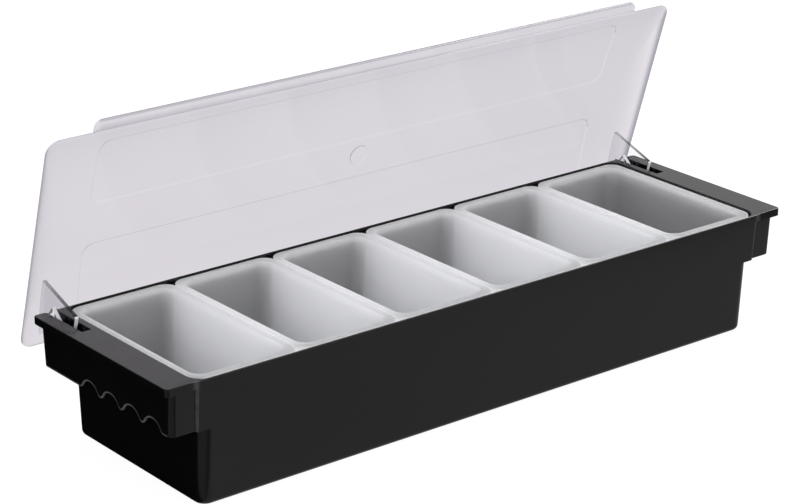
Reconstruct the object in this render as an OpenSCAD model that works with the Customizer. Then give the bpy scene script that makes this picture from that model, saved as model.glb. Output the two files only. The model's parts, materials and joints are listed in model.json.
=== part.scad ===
// Condiment caddy: a black tub with a finger ear at each end, six lift-out
// pans side by side in it, and one clear full-length lid on two hinge arms.
//
// +X runs along the tub, +Y points to the hinge side and +Z up. The origin is
// the centre of the tub's underside. The lid is drawn open, as it stands
// when the caddy is in use.

/* [Base] */
// Length over both ears
plate_length = 500; // [490:1:520]
// Front-to-back size at the rim
base_depth = 147; // [145:0.5:149]
// Height of the rim above the table
base_height = 84; // [80:0.5:90]
// Thickness of the top plate that forms the ears
plate_thickness = 5.4; // [3:0.1:6]
// Length of the tub
tub_length = 449; // [446:1:450]
// Front-to-back size of the tub at the table
foot_depth = 136.5; // [134:0.5:140]
// Radius of the tub's upright corners
tub_corner = 8; // [6:0.5:10]
// Radius between the tub's walls and its underside
foot_radius = 3.5; // [2:0.5:4]
// Thickness of the tub's floor and of its front and back walls
wall = 3; // [2.6:0.1:3.2]

/* [Ears] */
// Height of the skirt's lower edge above the table
skirt_bottom = 50.6; // [46:0.2:56]
// How far the plate stands out past the skirt at its ends
plate_overhang = 4.4; // [2.5:0.1:5]
// Thickness of the skirt
skirt_wall = 2.5; // [2:0.1:3]
// Number of finger scallops in each skirt
grip_count = 4; // [2:1:5]
// Distance between finger scallops
grip_pitch = 22.5; // [20:0.5:24]
// Height of a finger scallop
grip_rise = 6.5; // [4:0.5:8]
// Middle of the row of scallops, from the middle of the tub
grip_middle = -17; // [-20:1:-10]

/* [Pans] */
// Distance between pans
pan_pitch = 75.93; // [74:0.01:76]
// Gap between neighbouring rims
pan_gap = 0.5; // [0.2:0.05:0.6]
// Front-to-back size of a pan over its rim
pan_depth = 139.7; // [136:0.1:140]
// Height of a pan
pan_height = 65; // [50:1:70]
// Wall thickness of a pan
pan_wall = 1.5; // [1.2:0.1:1.8]
// Thickness of a pan's rim
pan_rim = 2.2; // [1.8:0.1:2.4]
// How far the rim stands out past the wall at the front and back
rim_front = 3.7; // [3.4:0.1:4.2]
// How far the rim stands out past the wall at the sides
rim_side = 3; // [2.8:0.1:3.4]
// Lean of a pan's walls, in degrees
pan_draft = 5.5; // [5:0.5:7]
// How far the row of pans sits left of the middle
pan_shift = 1.2; // [0:0.1:1.4]

/* [Lid] */
// Length of the lid
lid_length = 504; // [504:1:510]
// Front-to-back size of the lid without its lip
lid_depth = 152; // [149:0.5:154]
// Height of the lid's dome
lid_rise = 7.2; // [6:0.1:9]
// Thickness of the lid
lid_wall = 2.4; // [2:0.1:2.6]
// Thickness of the lid at its two ends
lid_end_wall = 1; // [0.8:0.1:1]
// How far the finger lip stands out in front of the lid
lip_reach = 7; // [6:0.5:12]
// Length of the finger lip
lip_length = 437; // [300:1:450]
// Length of the two raised panels
panel_length = 420; // [300:1:440]
// Front-to-back size of a raised panel
panel_depth = 48.4; // [30:0.2:50]
// Gap between the two raised panels
panel_gap = 30.4; // [20:0.2:34]
// Height of a raised panel above the dome
panel_step = 0.5; // [0.3:0.1:1]

/* [Hinge] */
// Height of the hinge axis above the table
hinge_z = 64.4; // [62:0.1:66]
// Distance of the hinge axis behind the middle of the tub
hinge_y = 63.8; // [63:0.1:65]
// How far the lid stands open, in degrees
open_angle = 73; // [0:1:90]
// Thickness of a hinge arm
arm_thickness = 2.6; // [2:0.1:3]
// Radius of the pegs that the arms turn on
peg_radius = 2; // [1.5:0.1:2.2]
// Radial running clearance of the pegs
peg_clearance = 0.06; // [0.04:0.01:0.08]
// Width of the slot that each arm passes through
slot_width = 6.6; // [6:0.1:7]
// Distance of the slots from the middle of the tub
slot_x = 237.5; // [237:0.1:238]

/* [Hidden] */

$fn = 64;
hull_fn = 32;
thin = 0.01;
far = 300;

// Tub and plate
plate_bottom = base_height - plate_thickness;
plate_corner = 2.5;
edge_radius = 3;

// Recess that the pan rims lie in: a front lip, a back lip and a ledge
front_lip = 1.4;
back_lip = 2.6;
recess_length = 458;
recess_corner = 9.5;
rest_gap = 0.2;
rim_top = base_height - rest_gap;
rim_bottom = rim_top - pan_rim;
ledge_z = rim_bottom - rest_gap;
shelf_reach = 5;
shelf_height = 3.5;

// Inside of the tub: straight up to the skirt's edge, then flared at the ends
end_wall = 1.5;
floor_inset = 2;
floor_rise = 3;
flare_z = skirt_bottom;
flare = 3.8;
shoulder_top = flare + 0.6;
shoulder_corner = 2;

// Ears
skirt_top_length = plate_length - 2 * plate_overhang;
skirt_draft = 0.1;
skirt_setback = 1.7;
skirt_corner = 4;
grip_radius = 10.2;

// Pans
pan_width = pan_pitch - pan_gap;
pan_clearance = 0.3;
pan_y = -base_depth / 2 + front_lip + pan_clearance + pan_depth / 2;
pan_bottom = rim_top - pan_height;
pan_corner = 10;
pan_foot_corner = 8;
pan_rim_corner = 9;
pan_foot_radius = 7;
pan_count = 6;

// Lid, laid out closed: v runs from its back edge forward, d up from its edge
lid_gap = 0.3;
lid_z = base_height + lid_gap;
lid_back = hinge_y + 14;
lid_corner = 9;
lip_corner = 5.5;
panel_corner = 8;
end_roll = 4.9;
dome_power = 3.5;
dome_levels = [0, 0.2, 0.4, 0.6, 0.75, 0.87, 0.95, 0.995];
panel_forward = 2;
gate_radius = 7;
gate_height = 1;
gate_forward = 4;

// Hinge
slot_front = 30.7;
finger_radius = (plate_length / 2 - slot_x - slot_width / 2) / 2;
boss_radius = 5;
boss_gap = 0.3;
boss_start = tub_length / 2 + 1.5;
boss_length = 3;
hub_width = slot_width - 0.8;
peg_reach = 3.6;
bore_end = 0.4;
hub_radius = 4.5;
bridge_z = 72;
window_front = hinge_y - 2;
window_depth = 20;

// ---- shared shapes ---------------------------------------------------------

module rounded_rect(length, depth, radius) {
    square([length, depth - 2 * radius], center = true);
    square([length - 2 * radius, depth], center = true);
    for (x = [-1, 1], y = [-1, 1])
        translate([x * (length / 2 - radius), y * (depth / 2 - radius)])
            circle(radius);
}

// One thin layer of a hull, at height z
module layer(z, length, depth, radius) {
    translate([0, 0, z])
        linear_extrude(thin)
            rounded_rect(length, depth, radius, $fn = hull_fn);
}

module both_ends() {
    children();
    mirror([1, 0, 0])
        children();
}

// A flat shape drawn as [y, z], made solid from x0 to x1
module along_x(x0, x1) {
    translate([x0, 0, 0])
        rotate([90, 0, 90])
            linear_extrude(x1 - x0)
                children();
}

// ---- base ------------------------------------------------------------------

function tub_depth(z) = foot_depth + (base_depth - foot_depth) * z / base_height;

// The tub's outside: a leaning front and back, upright ends and a rounded lower edge
module tub_outside() {
    hull() {
        for (a = [0, 30, 60, 90]) {
            z = foot_radius * (1 - sin(a));
            inset = foot_radius * (1 - cos(a));
            layer(z, tub_length - 2 * inset, tub_depth(z) - 2 * inset, tub_corner - inset);
        }
        layer(base_height - thin, tub_length, base_depth, tub_corner);
    }
}

module tub_inside() {
    corner = tub_corner - wall;
    hull() {
        layer(wall, tub_length - 2 * wall - 2 * floor_inset,
            foot_depth - 2 * wall - 2 * floor_inset, corner);
        layer(wall + floor_rise, tub_length - 2 * wall, foot_depth - 2 * wall, corner);
        layer(flare_z, tub_length - 2 * end_wall, tub_depth(flare_z) - 2 * wall, corner);
    }
    hull() {
        layer(flare_z - thin, tub_length - 2 * end_wall,
            tub_depth(flare_z) - 2 * wall, corner);
        layer(ledge_z, tub_length + 2 * flare - 2 * end_wall,
            tub_depth(ledge_z) - 2 * wall, corner);
    }
}

// Above the skirt's edge the ends step out and lean a little, to carry the end
// pans' rims, and the front and back stay flat almost to them
module flared_ends() {
    hull() {
        layer(flare_z, tub_length + 2 * flare, tub_depth(flare_z), shoulder_corner);
        layer(plate_bottom, tub_length + 2 * shoulder_top, tub_depth(plate_bottom),
            shoulder_corner);
    }
}

module plate_outline() {
    back = base_depth / 2;
    finger_x = plate_length / 2 - finger_radius;
    difference() {
        rounded_rect(plate_length, base_depth, plate_corner);
        both_ends2d() {
            translate([slot_x - slot_width / 2, slot_front])
                square([slot_width, base_depth]);
            translate([finger_x - finger_radius, back - finger_radius])
                square([2 * finger_radius + 1, finger_radius + 1]);
        }
    }
    both_ends2d()
        translate([finger_x, back - finger_radius])
            circle(finger_radius);
}

module both_ends2d() {
    children();
    mirror([1, 0])
        children();
}

module skirt_ring() {
    ring_depth = tub_depth(plate_bottom) - 2 * skirt_setback;
    low_depth = tub_depth(skirt_bottom) - 2 * skirt_setback;
    low_length = skirt_top_length - 2 * skirt_draft;
    inner_corner = skirt_corner - skirt_wall;
    difference() {
        hull() {
            layer(skirt_bottom, low_length, low_depth, skirt_corner);
            layer(plate_bottom, skirt_top_length, ring_depth, skirt_corner);
        }
        hull() {
            layer(skirt_bottom - 1, low_length - 2 * skirt_wall,
                low_depth - 2 * skirt_wall, inner_corner);
            layer(plate_bottom, skirt_top_length - 2 * skirt_wall,
                ring_depth - 2 * skirt_wall, inner_corner);
        }
    }
}

// Finger scallops along the lower edge of each skirt
module grips() {
    both_ends()
        along_x(tub_length / 2 + 6, plate_length / 2)
            for (i = [0 : grip_count - 1])
                translate([
                    grip_middle + (i - (grip_count - 1) / 2) * grip_pitch,
                    skirt_bottom + grip_rise - grip_radius
                ])
                    circle(grip_radius);
}

// Round bosses on both sides of each arm, where its pegs turn
module bearing_bosses() {
    reach = hub_width / 2 + boss_gap;
    both_ends() {
        translate([boss_start, hinge_y, hinge_z])
            rotate([0, 90, 0])
                cylinder(h = slot_x - reach - boss_start, r = boss_radius);
        translate([slot_x + reach, hinge_y, hinge_z])
            rotate([0, 90, 0])
                cylinder(h = boss_length, r = boss_radius);
    }
}

module bearing_bores() {
    reach = hub_width / 2 + boss_gap + peg_reach + bore_end;
    both_ends()
        translate([slot_x - reach, hinge_y, hinge_z])
            rotate([0, 90, 0])
                cylinder(h = 2 * reach, r = peg_radius + peg_clearance);
}

// Rounds the back edge of the rim, so that the turning lid clears it
module back_edge() {
    along_x(-far, far)
        translate([base_depth / 2 - edge_radius, base_height - edge_radius])
            difference() {
                square(edge_radius + 1);
                circle(edge_radius);
            }
}

// Window in the skirt's back wall that the hinge arm swings in
module arm_window() {
    both_ends()
        along_x(slot_x - slot_width / 2, slot_x + slot_width / 2)
            translate([window_front, skirt_bottom - 1])
                square([window_depth, bridge_z - skirt_bottom + 1]);
}

module pan_recess() {
    depth = base_depth - front_lip - back_lip;
    translate([0, (front_lip - back_lip) / 2, ledge_z])
        linear_extrude(10)
            rounded_rect(recess_length, depth, recess_corner);
}

// Shelf along the back wall, under the pans' back rims
module back_shelf() {
    outer = tub_depth(ledge_z) / 2;
    front = outer - wall - shelf_reach;
    foot_z = ledge_z - shelf_height - shelf_reach;
    along_x(-boss_start, boss_start)
        polygon([
            [outer - 1, ledge_z],
            [front, ledge_z],
            [front, ledge_z - shelf_height],
            [outer - wall, foot_z],
            [outer - 1, foot_z]
        ]);
}

module base_tray() {
    color([0.05, 0.05, 0.055]) {
        difference() {
            union() {
                tub_outside();
                flared_ends();
                skirt_ring();
                bearing_bosses();
                translate([0, 0, plate_bottom])
                    linear_extrude(plate_thickness)
                        plate_outline();
            }
            tub_inside();
            pan_recess();
            grips();
            arm_window();
            bearing_bores();
            back_edge();
        }
        back_shelf();
    }
}

// ---- pans ------------------------------------------------------------------

// A tapered bin with a rounded foot; grow makes its inside or its outside
module bin(height, floor_z, grow) {
    lean = tan(pan_draft);
    length = pan_width - 2 * rim_side + 2 * grow;
    depth = pan_depth - 2 * rim_front + 2 * grow;
    foot = pan_foot_radius + grow;
    hull() {
        for (a = [0, 30, 60, 90]) {
            z = floor_z + foot * (1 - sin(a));
            inset = foot * (1 - cos(a)) + (height - z) * lean;
            layer(z, length - 2 * inset, depth - 2 * inset, pan_foot_corner + grow);
        }
        layer(height, length, depth, pan_corner + grow);
    }
}

module pan(index) {
    x = (index - (pan_count + 1) / 2) * pan_pitch - pan_shift;
    color([0.86, 0.87, 0.89])
        translate([x, pan_y, pan_bottom])
            difference() {
                union() {
                    bin(pan_height - thin, 0, 0);
                    translate([0, 0, pan_height - pan_rim])
                        linear_extrude(pan_rim)
                            rounded_rect(pan_width, pan_depth, pan_rim_corner);
                }
                bin(pan_height + thin, pan_wall, -pan_wall);
            }
}

// ---- lid -------------------------------------------------------------------

// Moves what is drawn closed to where the open lid stands
module opened() {
    translate([0, hinge_y, hinge_z])
        rotate([-open_angle, 0, 0])
            translate([0, -hinge_y, -hinge_z])
                children();
}

// A shallow dome: the long sides swell slowly, the ends roll over
module dome(margin, end_margin, rise) {
    length = lid_length - 2 * end_margin;
    depth = lid_depth - 2 * margin;
    translate([0, lid_back - lid_depth / 2, lid_z])
        hull()
            for (t = dome_levels) {
                swell = pow(1 - t, 1 / dome_power);
                roll = -end_roll * ln(1 - t);
                layer(t * rise, length - 2 * roll, depth * swell,
                    min(lid_corner - margin, depth * swell / 2 - 1));
            }
}

module panel_outline() {
    for (side = [-1, 1])
        translate([0, lid_back - lid_depth / 2 - panel_forward
                + side * (panel_gap + panel_depth) / 2])
            rounded_rect(panel_length, panel_depth, panel_corner);
}

module lip() {
    depth = lip_reach + lid_wall + 1;
    translate([0, lid_back - lid_depth - lip_reach + depth / 2, lid_z])
        linear_extrude(lid_wall)
            difference() {
                rounded_rect(lip_length, depth, lip_corner);
                translate([-far, depth / 2 - 1])
                    square([2 * far, 2]);
            }
}

module lid_panel() {
    color([0.85, 0.84, 0.88, 0.35])
        opened()
            difference() {
                union() {
                    dome(0, 0, lid_rise);
                    intersection() {
                        dome(0, 0, lid_rise + panel_step);
                        translate([0, 0, lid_z])
                            linear_extrude(20)
                                panel_outline();
                    }
                    lip();
                    translate([0, lid_back - lid_depth / 2 - gate_forward,
                            lid_z + lid_rise - gate_height])
                        cylinder(h = 2 * gate_height, r = gate_radius);
                }
                translate([0, 0, -thin])
                    dome(lid_wall, lid_end_wall, lid_rise - lid_wall);
            }
}

// ---- hinge arms ------------------------------------------------------------

// Arm seen from the end, closed: v forward from the lid's back edge, d up from
// the lid's edge. Its top follows the inside of the dome. Its hook leaves room
// for the bridge behind the slot, and its tip is cut square.
arm_front = 46.2;
arm_back = 7.4;
hook_radius = 19.4;
hook_angles = [44 : 8 : 92];
tip_v = 44.4;
tip_d = -34.5;
tip_length = 13;
tip_chamfer = 0.8;
neck_angle = 28;
notch = [[30.3, -18.2], [30.9, -16.6], [34.5, -9]];
pin_v = lid_back - hinge_y;
pin_d = hinge_z - lid_z;

function on_hook(a) = [pin_v + hook_radius * cos(a), pin_d + hook_radius * sin(a)];

function inner_v(t) = lid_depth / 2 - (lid_depth / 2 - lid_wall) * pow(1 - t, 1 / dome_power);

// The dome's corners are rounder towards its crest, so the arm keeps off them
function under_dome(t) = [inner_v(t) + 5 * pow(t, 6), t * (lid_rise - lid_wall) - thin];

module arm_outline() {
    polygon(concat(
        [for (t = dome_levels) if (under_dome(t)[0] > arm_back && under_dome(t)[0] < arm_front)
            under_dome(t)],
        [
            [arm_front, 0.87 * (lid_rise - lid_wall) - thin],
            [tip_v, tip_d + tip_chamfer],
            [tip_v - tip_chamfer, tip_d],
            [tip_v - tip_length, tip_d],
            [pin_v - hub_radius * sin(neck_angle), pin_d - hub_radius * cos(neck_angle)],
            [pin_v + 0.3, pin_d + hub_radius]
        ],
        notch,
        [for (a = hook_angles) on_hook(a)],
        [[arm_back + 2, -0.4], [arm_back, 0.2]]
    ));
    translate([pin_v, pin_d])
        circle(hub_radius);
}

module hinge_arm() {
    color([0.85, 0.84, 0.88, 0.35])
        opened() {
            along_x(slot_x - arm_thickness / 2, slot_x + arm_thickness / 2)
                translate([lid_back, lid_z])
                    mirror([1, 0])
                        arm_outline();
            translate([slot_x - hub_width / 2, hinge_y, hinge_z])
                rotate([0, 90, 0])
                    cylinder(h = hub_width, r = hub_radius);
            translate([slot_x - hub_width / 2 - peg_reach, hinge_y, hinge_z])
                rotate([0, 90, 0])
                    cylinder(h = hub_width + 2 * peg_reach, r = peg_radius);
        }
}

module hinge_arm_right() {
    hinge_arm();
}

module hinge_arm_left() {
    mirror([1, 0, 0])
        hinge_arm();
}

// ---- parts -----------------------------------------------------------------

base_tray();
pan(1);  // pan_1
pan(2);  // pan_2
pan(3);  // pan_3
pan(4);  // pan_4
pan(5);  // pan_5
pan(6);  // pan_6
lid_panel();
hinge_arm_left();
hinge_arm_right();
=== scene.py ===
"""The looks of the condiment caddy: tub, six pans, clear lid and hinge arms.

Sizes are in millimetres in the CAD frame: +X along the tub, +Y to the hinge
side, +Z up. Meshes are turned into metres when they become objects.
"""

import json
import math

import bmesh
import bpy
from mathutils import Matrix, Vector
from mathutils.geometry import tessellate_polygon

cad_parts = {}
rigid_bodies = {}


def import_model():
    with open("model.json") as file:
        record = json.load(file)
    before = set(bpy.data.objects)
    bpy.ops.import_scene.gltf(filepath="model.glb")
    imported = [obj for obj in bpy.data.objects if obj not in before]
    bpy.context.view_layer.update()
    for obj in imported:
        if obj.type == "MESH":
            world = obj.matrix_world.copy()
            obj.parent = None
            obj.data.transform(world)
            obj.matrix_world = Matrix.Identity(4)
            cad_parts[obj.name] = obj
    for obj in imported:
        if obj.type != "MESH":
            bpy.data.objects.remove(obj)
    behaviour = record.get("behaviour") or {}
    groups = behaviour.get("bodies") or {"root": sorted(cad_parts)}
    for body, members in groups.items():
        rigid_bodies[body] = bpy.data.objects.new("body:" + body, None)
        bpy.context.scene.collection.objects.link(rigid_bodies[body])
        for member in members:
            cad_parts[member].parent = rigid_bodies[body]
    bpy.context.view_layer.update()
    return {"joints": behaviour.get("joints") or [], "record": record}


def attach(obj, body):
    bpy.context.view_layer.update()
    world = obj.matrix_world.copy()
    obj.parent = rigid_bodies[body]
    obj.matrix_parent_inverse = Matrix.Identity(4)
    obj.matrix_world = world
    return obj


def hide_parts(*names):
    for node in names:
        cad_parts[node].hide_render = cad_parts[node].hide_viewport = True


for leftover in list(bpy.data.objects):
    bpy.data.objects.remove(leftover)

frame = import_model()
scene = bpy.context.scene
MM = 0.001

BODY_OF = {node: body for body, nodes in frame["record"]["behaviour"]["bodies"].items()
           for node in nodes}
LID_HINGE = next(joint for joint in frame["joints"] if joint["name"] == "lid_hinge")

# ---- sizes, as in the CAD source --------------------------------------------

# How far one shape reaches into its neighbour, so that no seam shows
BURIED = 0.4

# Tub and plate
PLATE_LENGTH = 500
PLATE_THICKNESS = 5.4
PLATE_OVERHANG = 4.4
PLATE_CORNER = 2.5
BASE_DEPTH = 147
BASE_HEIGHT = 84
PLATE_BOTTOM = BASE_HEIGHT - PLATE_THICKNESS
TUB_LENGTH = 449
TUB_CORNER = 8
FOOT_DEPTH = 136.5
FOOT_RADIUS = 3.5
WALL_LEAN = (BASE_DEPTH - FOOT_DEPTH) / 2 / BASE_HEIGHT
WALL = 3
END_WALL = 1.5
FLOOR_RADIUS = 3
FLARE = 3.8
SHOULDER_LEAN = 0.6
SHOULDER_CORNER = 2
SHOULDER_LOW_X = TUB_LENGTH / 2 + FLARE
SHOULDER_TOP_X = SHOULDER_LOW_X + SHOULDER_LEAN
INNER_LENGTH = TUB_LENGTH + 2 * FLARE - 2 * END_WALL
INNER_CORNER = TUB_CORNER - WALL

# Skirts with their finger scallops
SKIRT_BOTTOM = 50.6
SKIRT_WALL = 2.5
SKIRT_SETBACK = 1.7
SKIRT_DRAFT = 0.1
SKIRT_CORNER = 4
SKIRT_TOP_X = PLATE_LENGTH / 2 - PLATE_OVERHANG
SKIRT_LOW_X = SKIRT_TOP_X - SKIRT_DRAFT
GRIP_RADIUS = 10.2
GRIP_RISE = 6.5
GRIP_PITCH = 22.5
GRIP_MIDDLE = -17
GRIP_COUNT = 4

# Recess that the pans' rims lie in, and the shelf under their back rims
FRONT_LIP = 1.4
BACK_LIP = 2.6
LIP_DIP = 0.5
RECESS_LENGTH = 458
RECESS_DEPTH = BASE_DEPTH - FRONT_LIP - BACK_LIP
RECESS_Y = (FRONT_LIP - BACK_LIP) / 2
RECESS_CORNER = 9.5
REST_GAP = 0.2
PAN_RIM = 2.2
RIM_TOP = BASE_HEIGHT - REST_GAP
LEDGE_Z = RIM_TOP - PAN_RIM - REST_GAP
SHELF_REACH = 5
SHELF_HEIGHT = 3.5

# Pans
PAN_COUNT = 6
PAN_PITCH = 75.93
PAN_GAP = 0.5
PAN_FRONT_GAP = 0.3
PAN_WIDTH = PAN_PITCH - PAN_GAP
PAN_DEPTH = 139.7
PAN_HEIGHT = 65
PAN_WALL = 1.5
PAN_LEAN = math.tan(math.radians(5.5))
PAN_CORNER = 10
PAN_FOOT_CORNER = 8
PAN_RIM_CORNER = 9
PAN_FOOT_RADIUS = 7
RIM_SIDE = 3
RIM_FRONT = 3.7
PAN_SHIFT = 1.2
PAN_Y = -BASE_DEPTH / 2 + FRONT_LIP + PAN_FRONT_GAP + PAN_DEPTH / 2
PAN_BOTTOM = RIM_TOP - PAN_HEIGHT

# Hinge: the frame says where the axis is and how far the lid stands open
HINGE_Y = LID_HINGE["pos_m"][1] / MM
HINGE_Z = LID_HINGE["pos_m"][2] / MM
OPEN_ANGLE = -math.radians(LID_HINGE["range_deg"][0])
ARM_X = 237.5
ARM_HALF = 1.3
SLOT_WIDTH = 6.6
SLOT_IN = ARM_X - SLOT_WIDTH / 2
SLOT_OUT = ARM_X + SLOT_WIDTH / 2
SLOT_FRONT = 30.7
FINGER_RADIUS = (PLATE_LENGTH / 2 - SLOT_OUT) / 2
BRIDGE_Z = 72
HUB_HALF = 2.9
HUB_RADIUS = 4.5
PEG_LENGTH = 3.6
PEG_RADIUS = 2
BORE_RADIUS = 2.06
BORE_DEPTH = 4
BORE_FLOOR = 0.5
BOSS_RADIUS = 5
BOSS_GAP = 0.3
BOSS_START = TUB_LENGTH / 2 + 1.5
BOSS_LENGTH = 3

# Lid with its panels, lip and gate mark
LID_LENGTH = 504
LID_DEPTH = 152
LID_RISE = 7.2
LID_WALL = 2.4
LID_END_WALL = 1
LID_CORNER = 9
LID_GAP = 0.3
LID_BEHIND_HINGE = 14
LID_Z = BASE_HEIGHT + LID_GAP
LID_BACK = HINGE_Y + LID_BEHIND_HINGE
END_ROLL = 4.9
DOME_POWER = 3.5
LIP_LENGTH = 437
LIP_REACH = 7
LIP_CORNER = 5.5
PANEL_X = 210
PANEL_DEPTH = 48.4
PANEL_GAP = 30.4
PANEL_CORNER = 8
PANEL_FORWARD = 2
PANEL_STEP = 0.5
PANEL_SOFT = 0.35
GATE_RADIUS = 7
GATE_FORWARD = 4

# Hinge arms, seen from the end: v runs forward from the lid's back edge, d up from its rim
ARM_FRONT = 46.2
ARM_BACK = 7.4
TIP_V = 44.4
TIP_D = -34.5
TIP_LENGTH = 13
TIP_CHAMFER = 0.8
NECK_ANGLE = 28
NOTCH = [(30.3, -18.2), (30.9, -16.6), (34.5, -9)]
HOOK_RADIUS = 19.4
HOOK_START = 44
HOOK_END = 92

# ---- mesh helpers -----------------------------------------------------------


def arc(cx, cy, radius, start, end, steps):
    """Points on an arc, angles in degrees."""
    points = []
    for i in range(steps + 1):
        a = math.radians(start + (end - start) * i / steps)
        points.append((cx + radius * math.cos(a), cy + radius * math.sin(a)))
    return points


def quarter(radius, steps):
    """(inset, height) pairs of a rounded lower edge, from the underside out to the wall."""
    return [(radius + x, radius + y) for x, y in arc(0, 0, radius, 270, 180, steps)]


def rounded(length, depth, radius, steps=8, along=(), centre_y=0.0):
    """A rounded rectangle, counter-clockwise, with extra points along its long sides."""
    hx = length / 2 - radius
    hy = depth / 2 - radius
    points = [(x, -depth / 2) for x in along]
    points += arc(hx, -hy, radius, -90, 0, steps)
    points += arc(hx, hy, radius, 0, 90, steps)
    points += [(x, depth / 2) for x in reversed(along)]
    points += arc(-hx, hy, radius, 90, 180, steps)
    points += arc(-hx, -hy, radius, 180, 270, steps)
    return [(x, y + centre_y) for x, y in points]


def at(points, z):
    """Puts a flat outline at height z."""
    return [Vector((x, y, z)) for x, y in points]


def circle_x(x, radius, steps=40):
    """A circle round the hinge axis, at x."""
    turns = [2 * math.pi * k / steps for k in range(steps)]
    return [Vector((x, HINGE_Y + radius * math.cos(t), HINGE_Z + radius * math.sin(t)))
            for t in turns]


def outward(points):
    """Unit outward normals of a closed counter-clockwise outline."""
    count = len(points)
    normals = []
    for i in range(count):
        d = Vector(points[(i + 1) % count]) - Vector(points[i - 1])
        normals.append(Vector((d.y, -d.x)).normalized())
    return normals


def offset_points(points, amounts):
    """Moves each point of a closed counter-clockwise outline inwards by its amount."""
    moved = []
    count = len(points)
    for i, (x, y) in enumerate(points):
        before = Vector(points[i - 1])
        here = Vector((x, y))
        after = Vector(points[(i + 1) % count])
        n1 = Vector(((here - before).y, -(here - before).x)).normalized()
        n2 = Vector(((after - here).y, -(after - here).x)).normalized()
        mitre = (n1 + n2) / (1 + max(n1.dot(n2), -0.5))
        moved.append((x - mitre.x * amounts[i], y - mitre.y * amounts[i]))
    return moved


def ease(value, low, high):
    """Rises smoothly from 0 where the value is low to 1 where it is high."""
    t = min(max((value - low) / (high - low), 0), 1)
    return t * t * (3 - 2 * t)


class Shell:
    """Collects closed shapes into one mesh."""

    def __init__(self):
        self.bm = bmesh.new()

    def ring(self, points):
        return [self.bm.verts.new(p) for p in points]

    def strip(self, a, b):
        """Faces between two rings of as many points."""
        count = len(a)
        for i in range(count):
            j = (i + 1) % count
            self.bm.faces.new((a[i], a[j], b[j], b[i]))

    def loft(self, rings):
        """Joins rings one after another and leaves both ends open."""
        made = [self.ring(r) for r in rings]
        for a, b in zip(made, made[1:]):
            self.strip(a, b)
        return made

    def between(self, outer, hole):
        """A flat face with a hole in it."""
        loops = [[v.co.copy() for v in outer], [v.co.copy() for v in hole]]
        verts = outer + hole
        for tri in tessellate_polygon(loops):
            self.bm.faces.new([verts[i] for i in tri])

    def tube(self, sections):
        """Joins closed cross-sections one after another and closes both ends."""
        made = self.loft(sections)
        self.bm.faces.new(made[0])
        self.bm.faces.new(made[-1])

    def mesh(self, name):
        bmesh.ops.recalc_face_normals(self.bm, faces=self.bm.faces)
        mesh = bpy.data.meshes.new(name)
        self.bm.to_mesh(mesh)
        self.bm.free()
        return mesh


def tube_mesh(name, sections):
    shell = Shell()
    shell.tube(sections)
    return shell.mesh(name)


def paint(mesh, name, domain, values):
    """Gives the mesh an attribute that its material reads, one value per point or corner."""
    mesh.attributes.new(name, "FLOAT", domain).data.foreach_set("value", values)


def make_object(name, data):
    made = bpy.data.objects.new(name, data)
    scene.collection.objects.link(made)
    return made


def add_piece(name, mesh, material, node, sharp=32):
    """Puts a finished mesh in the scene in the place of a CAD node, on that node's body and
    in its material slot. Edges sharper than sharp, in degrees, stay crisp."""
    mesh.transform(Matrix.Scale(MM, 4))
    mesh.polygons.foreach_set("use_smooth", [True] * len(mesh.polygons))
    mesh.set_sharp_from_angle(angle=math.radians(sharp))
    mesh.update()
    mesh.materials.clear()
    mesh.materials.append(material)
    piece = make_object(name, mesh)
    weighted = piece.modifiers.new("even_shading", "WEIGHTED_NORMAL")
    weighted.keep_sharp = True
    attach(piece, BODY_OF[node])
    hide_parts(node)


def joined(meshes, name):
    """The union of closed meshes, by exact boolean."""
    first = make_object(name, meshes[0])
    for other_mesh in meshes[1:]:
        other = make_object(name + "_tool", other_mesh)
        union = first.modifiers.new("union", "BOOLEAN")
        union.operation = "UNION"
        union.solver = "EXACT"
        union.object = other
        graph = bpy.context.evaluated_depsgraph_get()
        result = bpy.data.meshes.new_from_object(first.evaluated_get(graph))
        first.modifiers.clear()
        first.data = result
        bpy.data.objects.remove(other)
    result = first.data
    bpy.data.objects.remove(first)
    return result


def opened(mesh):
    """Turns a mesh that is laid out closed to where the open lid stands."""
    turn = Matrix.Rotation(-OPEN_ANGLE, 4, "X")
    hinge = Matrix.Translation((0, HINGE_Y, HINGE_Z))
    mesh.transform(hinge @ turn @ hinge.inverted())
    return mesh


# ---- material helpers -------------------------------------------------------


def new_material(name):
    material = bpy.data.materials.new(name)
    material.use_nodes = True
    tree = material.node_tree
    tree.nodes.clear()
    output = tree.nodes.new("ShaderNodeOutputMaterial")
    return material, tree, output.inputs["Surface"]


def noise(tree, scale, detail=3.0):
    """Noise that stays with the object as it moves."""
    coordinates = tree.nodes.new("ShaderNodeTexCoord")
    texture = tree.nodes.new("ShaderNodeTexNoise")
    texture.inputs["Scale"].default_value = scale
    texture.inputs["Detail"].default_value = detail
    tree.links.new(coordinates.outputs["Object"], texture.inputs["Vector"])
    return texture.outputs["Fac"]


def ramp(tree, source, low, high, start=0.3, end=0.7):
    """Maps start..end of the source to low..high, which are numbers."""
    mapped = tree.nodes.new("ShaderNodeMapRange")
    mapped.inputs["From Min"].default_value = start
    mapped.inputs["From Max"].default_value = end
    mapped.inputs["To Min"].default_value = low
    mapped.inputs["To Max"].default_value = high
    tree.links.new(source, mapped.inputs["Value"])
    return mapped.outputs["Result"]


def colours(tree, source, stops):
    """Maps the source through a colour ramp of (position, colour) stops."""
    node = tree.nodes.new("ShaderNodeValToRGB")
    elements = node.color_ramp.elements
    while len(elements) < len(stops):
        elements.new(1.0)
    for element, (position, colour) in zip(elements, stops):
        element.position = position
        element.color = (*colour, 1)
    tree.links.new(source, node.inputs["Fac"])
    return node.outputs["Color"]


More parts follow.
